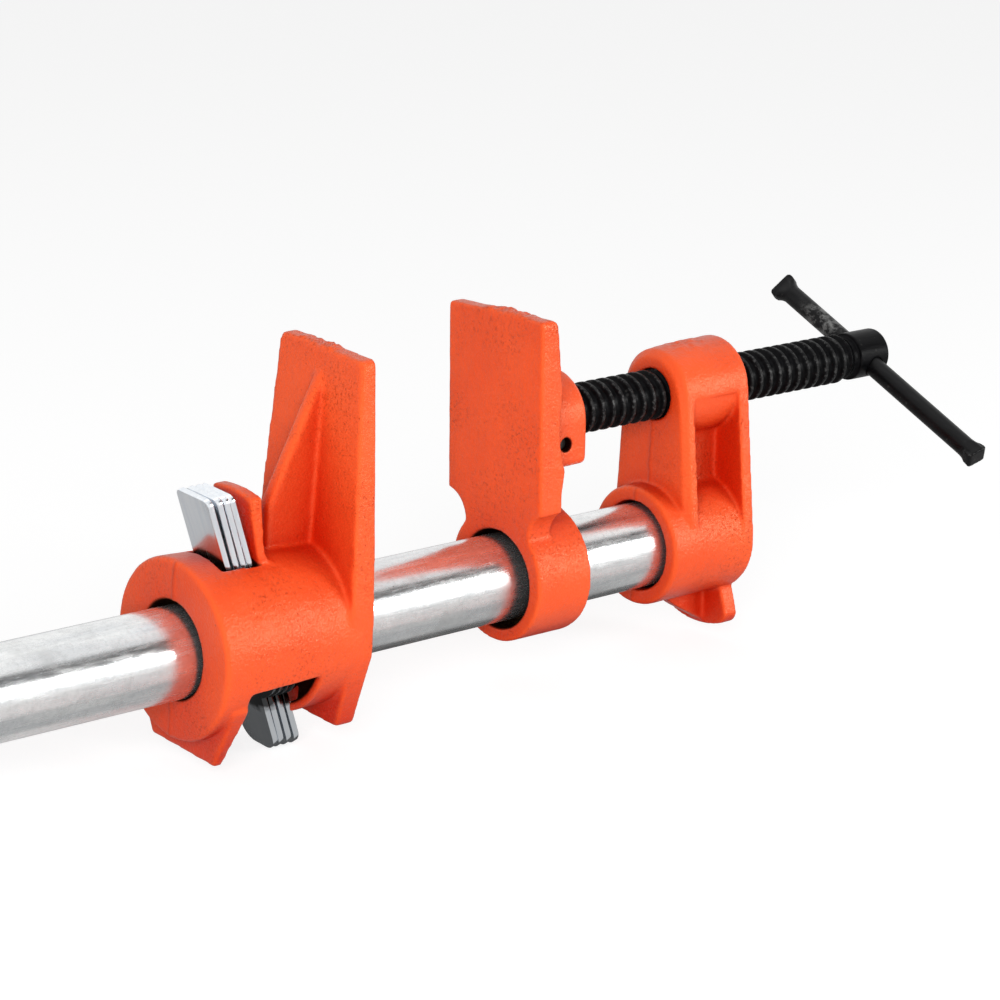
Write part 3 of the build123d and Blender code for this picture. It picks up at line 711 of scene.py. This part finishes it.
def turned(name, profile, centre_z, segments):
    """A body of revolution about a line along X, from a closed profile of (x, radius)."""
    turns = np.arange(segments) * 2 * math.pi / segments
    points = [
        (x * MM, r * MM * math.sin(a), (centre_z + r * math.cos(a)) * MM) for x, r in profile for a in turns
    ]
    faces = []
    for row in range(len(profile)):
        following = (row + 1) % len(profile)
        for k in range(segments):
            n = (k + 1) % segments
            faces.append(
                (row * segments + k, row * segments + n, following * segments + n, following * segments + k)
            )
    mesh = bpy.data.meshes.new(name)
    mesh.from_pydata(points, [], faces)
    shade_smooth(mesh)
    mesh.set_sharp_from_angle(angle=math.radians(50))
    mesh.update()
    return placed(name, mesh)


# ---------------------------------------------------------------- forms made by rule
def new_form(name, inputs):
    """An empty geometry tree with named sizes, its input node and its output node."""
    tree = bpy.data.node_groups.new(name, "GeometryNodeTree")
    tree.interface.new_socket(name="Geometry", in_out="INPUT", socket_type="NodeSocketGeometry")
    for label, kind, value in inputs:
        socket = tree.interface.new_socket(name=label, in_out="INPUT", socket_type=kind)
        if value is not None:
            socket.default_value = value
    tree.interface.new_socket(name="Geometry", in_out="OUTPUT", socket_type="NodeSocketGeometry")
    return tree, tree.nodes.new("NodeGroupInput"), tree.nodes.new("NodeGroupOutput")


def form_piece(name, tree, sizes):
    """Runs a geometry tree with its own sizes and keeps the plain mesh."""
    piece = placed(name, bpy.data.meshes.new(name))
    modifier = piece.modifiers.new("form", "NODES")
    modifier.node_group = tree
    for item in tree.interface.items_tree:
        if item.item_type == "SOCKET" and item.in_out == "INPUT" and item.name in sizes:
            modifier[item.identifier] = sizes[item.name]
    return settle(piece, name)


def close_form(tree, geometry, material_socket, result):
    """The tree's last nodes: real geometry with its finish."""
    real = add_node(tree, "GeometryNodeRealizeInstances", {"Geometry": geometry})
    dressed = add_node(
        tree, "GeometryNodeSetMaterial", {"Geometry": real.outputs[0], "Material": material_socket}
    )
    tree.links.new(dressed.outputs[0], result.inputs["Geometry"])


def thread_form():
    """A rounded screw thread over a round core: one closed sheet whose radius follows the helix."""
    tree, entry, result = new_form(
        "Screw thread",
        [
            ("Start", "NodeSocketFloat", 0.0),
            ("Length", "NodeSocketFloat", 0.1),
            ("Height of axis", "NodeSocketFloat", 0.0),
            ("Crest radius", "NodeSocketFloat", 0.008),
            ("Root radius", "NodeSocketFloat", 0.0065),
            ("Lead", "NodeSocketFloat", 0.005),
            ("Run-out", "NodeSocketFloat", 0.003),
            ("Start radius", "NodeSocketFloat", 0.006),
            ("End radius", "NodeSocketFloat", 0.006),
            ("Rows", "NodeSocketInt", 620),
            ("Round", "NodeSocketInt", 72),
            ("Finish", "NodeSocketMaterial", None),
        ],
    )
    size = entry.outputs
    sheet = add_node(
        tree,
        "GeometryNodeMeshGrid",
        {"Size X": 1.0, "Size Y": 1.0, "Vertices X": size["Rows"], "Vertices Y": size["Round"]},
    )
    position = tree.nodes.new("GeometryNodeInputPosition").outputs[0]
    spot = add_node(tree, "ShaderNodeSeparateXYZ", {0: position})
    along = calc(tree, "ADD", spot.outputs[0], 0.5)
    turn = calc(tree, "ADD", spot.outputs[1], 0.5)
    travel = calc(tree, "MULTIPLY", along, size["Length"])
    windings = calc(tree, "SUBTRACT", calc(tree, "DIVIDE", travel, size["Lead"]), turn)
    phase = calc(tree, "FRACT", calc(tree, "ADD", windings, 8.0))
    tooth = calc(tree, "ABSOLUTE", calc(tree, "SUBTRACT", phase, 0.5))
    rise = add_node(
        tree,
        "ShaderNodeMapRange",
        {0: tooth, 1: 0.10, 2: 0.33, 3: 1.0, 4: 0.0},
        interpolation_type="SMOOTHSTEP",
    ).outputs[0]
    from_start = between(tree, travel, 0.0, size["Run-out"])
    left = calc(tree, "SUBTRACT", size["Length"], travel)
    from_end = between(tree, left, 0.0, size["Run-out"])
    ease = calc(tree, "MULTIPLY", from_start, from_end)
    depth = calc(tree, "SUBTRACT", size["Crest radius"], size["Root radius"])
    relief = calc(tree, "MULTIPLY", rise, ease)
    radius = calc(tree, "ADD", size["Root radius"], calc(tree, "MULTIPLY", relief, depth))
    # the sheet's two rims meet the plain stretches that it joins
    first = add_node(tree, "FunctionNodeCompare", {0: along, 1: 0.0005}, operation="LESS_THAN").outputs[0]
    last = add_node(tree, "FunctionNodeCompare", {0: along, 1: 0.9995}, operation="GREATER_THAN").outputs[0]
    for rim, rim_radius in ((first, size["Start radius"]), (last, size["End radius"])):
        choice = {"Switch": rim, "False": radius, "True": rim_radius}
        radius = add_node(tree, "GeometryNodeSwitch", choice, input_type="FLOAT").outputs[0]
    angle = calc(tree, "MULTIPLY", turn, 2 * math.pi)
    x = calc(tree, "ADD", size["Start"], travel)
    y = calc(tree, "MULTIPLY", radius, calc(tree, "COSINE", angle))
    z = calc(tree, "MULTIPLY", radius, calc(tree, "SINE", angle))
    place = add_node(
        tree, "ShaderNodeCombineXYZ", {0: x, 1: y, 2: calc(tree, "ADD", size["Height of axis"], z)}
    )
    kept = add_node(
        tree,
        "GeometryNodeStoreNamedAttribute",
        {"Geometry": sheet.outputs["Mesh"], "Name": "ridge", "Value": relief},
        data_type="FLOAT",
        domain="POINT",
    )
    wrapped = add_node(
        tree, "GeometryNodeSetPosition", {"Geometry": kept.outputs[0], "Position": place.outputs[0]}
    )
    joined = add_node(tree, "GeometryNodeMergeByDistance", {"Geometry": wrapped.outputs[0], "Distance": 1e-6})
    smooth = add_node(tree, "GeometryNodeSetShadeSmooth", {0: joined.outputs[0]})
    close_form(tree, smooth.outputs[0], size["Finish"], result)
    return tree


def coil_form():
    """A wire coil about the pipe, running from a flat wall to a leaning plate."""
    tree, entry, result = new_form(
        "Coil",
        [
            ("Wire radius", "NodeSocketFloat", 0.0006),
            ("Coil radius", "NodeSocketFloat", 0.015),
            ("Turns", "NodeSocketFloat", 2.0),
            ("Wall", "NodeSocketFloat", 0.0),
            ("Plate", "NodeSocketFloat", 0.0),
            ("Lean", "NodeSocketFloat", 0.0),
            ("Roll", "NodeSocketFloat", 0.0),
            ("Steps", "NodeSocketInt", 160),
            ("Finish", "NodeSocketMaterial", None),
        ],
    )
    size = entry.outputs
    line = add_node(tree, "GeometryNodeCurvePrimitiveLine", {"Start": (0, 0, 0), "End": (1, 0, 0)})
    stepped = add_node(tree, "GeometryNodeResampleCurve", {"Curve": line.outputs[0], "Count": size["Steps"]})
    share = tree.nodes.new("GeometryNodeSplineParameter").outputs["Factor"]
    angle = calc(tree, "MULTIPLY", calc(tree, "MULTIPLY", share, size["Turns"]), 2 * math.pi)
    side = calc(tree, "MULTIPLY", size["Coil radius"], calc(tree, "SINE", angle))
    height = calc(tree, "MULTIPLY", size["Coil radius"], calc(tree, "COSINE", angle))
    clear = calc(tree, "ADD", size["Wire radius"], 0.0001)
    touch = calc(tree, "DIVIDE", clear, calc(tree, "COSINE", size["Lean"]))
    plate = calc(tree, "SUBTRACT", calc(tree, "SUBTRACT", size["Plate"], touch),
                 calc(tree, "MULTIPLY", height, calc(tree, "TANGENT", size["Lean"])))
    span = calc(tree, "SUBTRACT", plate, size["Wall"])
    x = calc(tree, "ADD", size["Wall"], calc(tree, "MULTIPLY", span, share))
    cosine = calc(tree, "COSINE", size["Roll"])
    sine = calc(tree, "SINE", size["Roll"])
    y = calc(tree, "SUBTRACT", calc(tree, "MULTIPLY", side, cosine), calc(tree, "MULTIPLY", height, sine))
    z = calc(tree, "ADD", calc(tree, "MULTIPLY", side, sine), calc(tree, "MULTIPLY", height, cosine))
    place = add_node(tree, "ShaderNodeCombineXYZ", {0: x, 1: y, 2: z})
    path = add_node(
        tree, "GeometryNodeSetPosition", {"Geometry": stepped.outputs[0], "Position": place.outputs[0]}
    )
    section = add_node(
        tree, "GeometryNodeCurvePrimitiveCircle", {"Resolution": 20, "Radius": size["Wire radius"]}
    )
    tube = add_node(
        tree,
        "GeometryNodeCurveToMesh",
        {"Curve": path.outputs[0], "Profile Curve": section.outputs[0], "Fill Caps": True},
    )
    smooth = add_node(tree, "GeometryNodeSetShadeSmooth", {0: tube.outputs[0]})
    close_form(tree, smooth.outputs[0], size["Finish"], result)
    return tree


# ---------------------------------------------------------------- pieces
def make_pipe():
    """The pipe, its two ends chamfered."""
    e = PIPE_EDGE
    profile = [(0, PIPE_BORE_R), (0, PIPE_R - e), (e, PIPE_R)]
    profile += [(x, PIPE_R) for x in np.linspace(8, PIPE_LENGTH - 8, 40)]
    profile += [(PIPE_LENGTH - e, PIPE_R), (PIPE_LENGTH, PIPE_R - e), (PIPE_LENGTH, PIPE_BORE_R)]
    piece = turned("galvanised_pipe", profile, 0.0, 128)
    return finish_piece(piece, galvanising(), "pipe_and_head", "galvanised_steel", "pipe")


def make_castings():
    """Head, sliding jaw and tail stop in orange enamel."""
    enamel = orange_enamel()
    for node, name, body, grid, marks in (
        ("head_casting", "head", "pipe_and_head", 0.5, head_marks),
        ("sliding_jaw", "moving_jaw", "sliding_jaw", 0.5, jaw_marks),
        ("tail_stop", "fixed_jaw", "tail_stop", 0.55, tail_marks),
    ):
        finish_piece(casting(node, name, grid, marks), enamel, body, "orange_enamel", node)


def make_screw():
    """The screw: threaded length by rule, its nose and hub rounded from the node."""
    finish = black_oxide("Black oxide screw", (0, 0, 0), (0, 0, 0), 0.06, 0.16, -900.0, -800.0)
    thread = form_piece(
        "screw_thread",
        thread_form(),
        {
            "Start": SHOULDER_X * MM,
            "Length": (THREAD_END - SHOULDER_X) * MM,
            "Height of axis": SCREW_Z * MM,
            "Crest radius": THREAD_CREST_R * MM,
            "Root radius": THREAD_ROOT_R * MM,
            "Lead": THREAD_LEAD * MM,
            "Run-out": 2.2 * MM,
            "Start radius": (NOSE_R - 0.1) * MM,
            "End radius": (NECK_R - 0.1) * MM,
            "Finish": finish,
        },
    )
    finish_piece(thread, finish, "screw", "black_oxide_steel", "main_screw")
    plain = rounded_skin("main_screw", "screw_nose_and_hub", 0.3, 3)
    mark_ridges(plain.data, 0.03, 0.15)
    keep_plain_stretches(plain)
    finish_piece(plain, finish, "screw", "black_oxide_steel", "main_screw")


def keep_plain_stretches(piece):
    """Leaves only the nose, neck and hub, whose ends run a little under the thread."""
    work = bmesh.new()
    work.from_mesh(piece.data)
    low = (SHOULDER_X - 0.3) * MM
    high = (THREAD_END + 0.3) * MM
    gone = [face for face in work.faces if low < face.calc_center_median().x < high]
    bmesh.ops.delete(work, geom=gone, context="FACES")
    rims = [edge for edge in work.edges if edge.is_boundary]
    bmesh.ops.holes_fill(work, edges=rims, sides=0)
    work.to_mesh(piece.data)
    work.free()


def hammered_tip(points, reach, twist, width, thickness):
    """Spreads one end of the bar into a hammered paddle, wide one way and flattened the other."""
    flare = SWAGE + 0.1
    tilt, turn = math.radians(BAR_TURN), math.radians(twist)
    along = np.array((0.0, math.cos(tilt), math.sin(tilt)))
    up = np.array((0.0, -math.sin(tilt), math.cos(tilt)))
    wide = np.array((math.cos(turn), 0.0, 0.0)) + up * math.sin(turn)
    flat = np.array((-math.sin(turn), 0.0, 0.0)) + up * math.cos(turn)
    out = points - np.array((BAR_X, 0.0, SCREW_Z))
    travel, across, through = out @ along, out @ wide, out @ flat
    back = np.clip((reach - travel) * np.sign(reach), 0, flare)
    near = (travel * np.sign(reach) > 0)[:, None]
    now_wide = np.maximum(BAR_R, SWAGE_HALF_WIDTH - SWAGE_SLOPE * back)
    now_flat = np.where(back < SWAGE, SWAGE_HALF_THICKNESS + back * SWAGE_THINNING, BAR_R)
    ease = np.clip((flare - back) / (flare - 1.5), 0, 1)
    ease = ease * ease * (3 - 2 * ease)
    new_wide = BAR_R + (width - BAR_R) * ease
    new_flat = BAR_R + (thickness - BAR_R) * ease
    moved = (across * (new_wide / now_wide - 1))[:, None] * wide
    moved += (through * (new_flat / now_flat - 1))[:, None] * flat
    return points + moved * near


def make_handle_bar():
    """The tommy bar with its two hammered tips."""
    piece = rounded_skin("handle_bar", "tommy_bar", 0.25, 16)
    points, _ = read_points(piece.data)
    points = hammered_tip(points, BAR_UP, BAR_UP_TWIST, 4.5, 2.3)
    points = hammered_tip(points, -BAR_DOWN, BAR_DOWN_TWIST, 3.6, 2.8)
    write_points(piece.data, points)
    mark_ridges(piece.data, 0.02, 0.10)
    finish = black_oxide("Black oxide bar", (0, 0, -90.0), (BAR_X, 0.0, SCREW_Z), 0.16, 0.3, 4.0, 26.0)
    return finish_piece(piece, finish, "handle", "black_oxide_steel", "handle_bar")


def make_pin():
    """The cross pin, seen at the bottom of its hole."""
    piece = rounded_skin("jaw_retaining_pin", "cross_pin", 0.2, 3)
    return finish_piece(piece, oily_pin(), "sliding_jaw", "black_oxide_steel", "jaw_retaining_pin")


def make_plates():
    """Four bright pressings with rolled edges."""
    finish = bright_plate()
    for number in range(1, 5):
        node = f"clutch_plate_{number}"
        piece = merged_copy(node, f"plate_{number}")
        flat = piece.modifiers.new("flat", "DECIMATE")
        flat.decimate_type = "DISSOLVE"
        flat.angle_limit = math.radians(1.0)
        roll = piece.modifiers.new("rolled edge", "BEVEL")
        roll.width = 0.15 * MM
        roll.segments = 2
        roll.limit_method = "ANGLE"
        roll.angle_limit = math.radians(50)
        settle(piece, piece.name)
        shade_smooth(piece.data)
        piece.data.set_sharp_from_angle(angle=math.radians(50))
        finish_piece(piece, finish, "clutch_plates", "bright_steel", node)


def make_spring():
    """The clutch spring, rolled like the tail stop and running up to the leaning plates."""
    finish = drawn_wire()
    piece = form_piece(
        "coil_spring",
        coil_form(),
        {
            "Wire radius": WIRE_R * MM,
            "Coil radius": COIL_R * MM,
            "Turns": COIL_TURNS,
            "Wall": COIL_FRONT_X * MM,
            "Plate": PLATE_FACE_X * MM,
            "Lean": math.radians(PLATE_TILT),
            "Roll": math.radians(TAIL_ROLL),
            "Finish": finish,
        },
    )
    piece.data.materials.clear()
    piece.data.materials.append(finish)
    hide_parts("clutch_spring")
    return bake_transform(piece)


# ---------------------------------------------------------------- studio
def white_to_the_eye(tree, soft):
    """Plain white for the camera, gloss and glass; the soft light for everything else."""
    path = tree.nodes.new("ShaderNodeLightPath")
    seen = calc(tree, "MAXIMUM", path.outputs["Is Camera Ray"], path.outputs["Is Glossy Ray"])
    seen = calc(tree, "MAXIMUM", seen, path.outputs["Is Transmission Ray"])
    return add_node(tree, "ShaderNodeMixShader", {0: seen, 1: soft})


def card_paint(name, shade):
    """Even grey of its own, for reflections only."""
    material, tree, surface = empty_material(name)
    even = add_node(tree, "ShaderNodeEmission", {"Color": (shade, shade, shade, 1), "Strength": 1.0})
    tree.links.new(even.outputs[0], surface)
    return material


def flat_strip(from_x, to_x, from_y, to_y, z):
    """Corners of a level strip."""
    return (from_x, from_y, z), (to_x, from_y, z), (to_x, to_y, z), (from_x, to_y, z)


def make_studio():
    """White surround, pale floor and three soft lamps."""
    world = bpy.data.worlds.new("Studio")
    bpy.context.scene.world = world
    world.use_nodes = True
    tree = world.node_tree
    tree.nodes.clear()
    soft = add_node(tree, "ShaderNodeBackground", {"Color": (1, 1, 1, 1), "Strength": 0.32})
    white = add_node(tree, "ShaderNodeBackground", {"Color": (1, 1, 1, 1), "Strength": 1.0})
    out = tree.nodes.new("ShaderNodeOutputWorld")
    mix = white_to_the_eye(tree, soft.outputs[0])
    tree.links.new(white.outputs[0], mix.inputs[2])
    tree.links.new(mix.outputs[0], out.inputs[0])

    low, high = cad_box
    middle = (Vector(low) + Vector(high)) / 2
    mesh = bpy.data.meshes.new("floor")
    reach = 3.0
    z = low[2] - 0.0005
    mesh.from_pydata(flat_strip(-reach, reach, -reach, reach, z), [], [(0, 1, 2, 3)])
    floor = placed("floor", mesh)
    paper, tree, surface = empty_material("Pale paper")
    cloth = add_node(tree, "ShaderNodeBsdfDiffuse", {"Color": (0.80, 0.80, 0.80, 1)})
    faint = add_node(tree, "ShaderNodeBsdfDiffuse", {"Color": (0.34, 0.34, 0.34, 1)})
    glow = add_node(tree, "ShaderNodeEmission", {"Color": (1, 1, 1, 1), "Strength": 0.78})
    path = tree.nodes.new("ShaderNodeLightPath")
    lit = add_node(tree, "ShaderNodeMixShader", {0: path.outputs["Is Camera Ray"]})
    both = add_node(tree, "ShaderNodeAddShader", {0: faint.outputs[0], 1: glow.outputs[0]})
    tree.links.new(cloth.outputs[0], lit.inputs[1])
    tree.links.new(both.outputs[0], lit.inputs[2])
    tree.links.new(lit.outputs[0], surface)
    mesh.materials.append(paper)

    # painted shadow: the two floor strips below, seen only in reflections, darken the floor beside and under
    # the pipe
    near = z + 0.0003
    high_card = ((0.6, -0.9, 0.42), (2.9, -0.9, 0.42), (2.9, -0.9, 1.35), (0.6, -0.9, 1.35))
    for name, corners, shade in (
        ("high grey card", high_card, 0.04),
        ("painted shadow beside the pipe", flat_strip(0.0, 0.9, -0.045, -0.005, near), 0.46),
        ("painted shadow under the pipe", flat_strip(0.262, 0.45, -0.005, 0.03, near), 0.09),
    ):
        mesh = bpy.data.meshes.new(name)
        mesh.from_pydata(corners, [], [(0, 1, 2, 3)])
        card = placed(name, mesh)
        mesh.materials.append(card_paint(name, shade))
        card.visible_camera = False
        card.visible_diffuse = False
        card.visible_shadow = False

    for name, place, width, height, power, shines in (
        ("key", (0.80, -0.90, 0.24), 0.5, 0.24, 6.2, True),
        ("fill", (-0.95, -1.05, 0.45), 0.8, 0.8, 24.0, False),
        ("top", (0.10, 0.45, 1.30), 0.8, 0.8, 1.5, True),
    ):
        lamp = bpy.data.lights.new(name, "AREA")
        lamp.shape = "RECTANGLE"
        lamp.size = width
        lamp.size_y = height
        lamp.energy = power
        holder = placed(name, lamp)
        holder.location = middle + Vector(place)
        holder.rotation_euler = (middle - holder.location).to_track_quat("-Z", "Y").to_euler()
        holder.visible_glossy = shines


def make_camera():
    """Camera at the photograph's place and angle."""
    turn, rise, tilt = math.radians(-40.813), math.radians(15.03), math.radians(0.586)
    back = Vector((math.sin(turn) * math.cos(rise), -math.cos(turn) * math.cos(rise), math.sin(rise)))
    right = (-back).cross(Vector((0, 0, 1))).normalized()
    up = right.cross(-back)
    across = right * math.cos(tilt) + up * math.sin(tilt)
    above = up * math.cos(tilt) - right * math.sin(tilt)
    lens = bpy.data.cameras.new("view")
    lens.lens = 118.8
    lens.sensor_width = 36.0
    lens.clip_start = 0.01
    camera = placed("view", lens)
    matrix = Matrix((across, above, back)).transposed().to_4x4()
    matrix.translation = Vector((-0.254548, -0.725358, 0.281306))
    camera.matrix_world = matrix
    bpy.context.scene.camera = camera


make_camera()
make_pipe()
make_castings()
make_screw()
make_handle_bar()
make_pin()
make_plates()
make_spring()
make_studio()
bpy.context.scene.view_settings.view_transform = "Standard"
